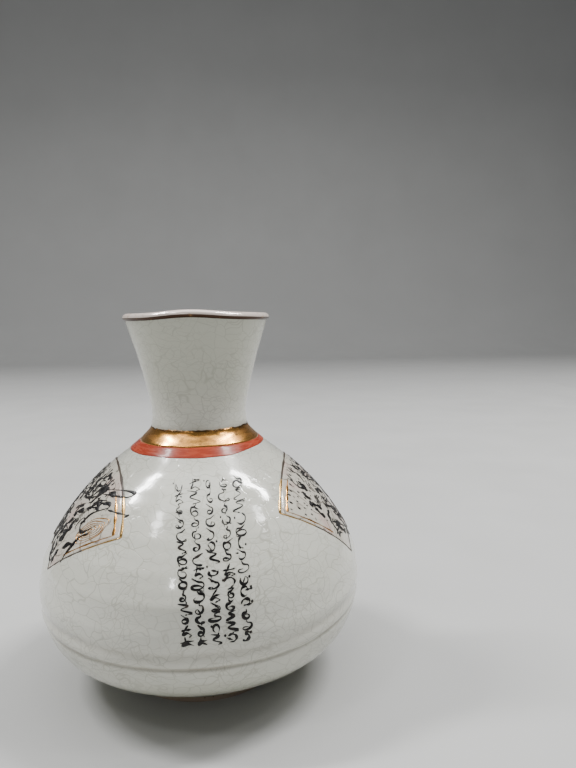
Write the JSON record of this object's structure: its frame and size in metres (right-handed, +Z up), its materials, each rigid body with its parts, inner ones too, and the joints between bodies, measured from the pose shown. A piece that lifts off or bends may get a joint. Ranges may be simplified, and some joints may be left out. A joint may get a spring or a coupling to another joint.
{
  "type": "sake bottle",
  "caption": "Squat round-bellied stoneware sake bottle with a flared neck, crackle glaze, gold and red collar bands, fan panels and brush columns.",
  "frame": {"origin": "centre of the foot ring's resting face, on the bottle's axis", "axes": "+Z up along the bottle's axis; -Y towards the front with the brush columns; +X to the viewer's right"},
  "size_m": [0.105, 0.1052, 0.1196],
  "materials": {
    "bare_clay": "unglazed fired stoneware, matte",
    "celadon_glaze": "pale grey-green crackle glaze, glossy",
    "lustre_gold": "fired gold lustre, slightly worn",
    "iron_red_enamel": "iron-red overglaze enamel, glossy",
    "black_enamel": "black overglaze enamel, satin gloss",
    "fan_slip": "pinkish white slip under clear glaze",
    "fan_line": "thin brown-gold line"
  },
  "bodies": {
    "root": {"foot_ring": "bare_clay", "bowl_base": "bare_clay", "belly_shell": "bare_clay", "neck": "bare_clay", "foot_well_glaze": "celadon_glaze", "outer_glaze": "celadon_glaze", "inner_glaze": "celadon_glaze", "gold_collar_band": "lustre_gold", "red_shoulder_band": "iron_red_enamel", "lip_gilding": "lustre_gold", "front_brush_column_1": "black_enamel", "front_brush_column_2": "black_enamel", "front_brush_column_3": "black_enamel", "front_brush_column_4": "black_enamel", "front_brush_column_5": "black_enamel", "back_brush_column_1": "black_enamel", "back_brush_column_2": "black_enamel", "back_brush_column_3": "black_enamel", "back_brush_column_4": "black_enamel", "back_brush_column_5": "black_enamel", "right_fan_ground": "fan_slip", "right_fan_edging": "fan_line", "right_fan_brushwork": "black_enamel", "right_fan_gilding": "lustre_gold", "left_fan_ground": "fan_slip", "left_fan_edging": "fan_line", "left_fan_brushwork": "black_enamel", "left_fan_gilding": "lustre_gold", "left_fan_grain": "lustre_gold"}
  },
  "joints": []
}
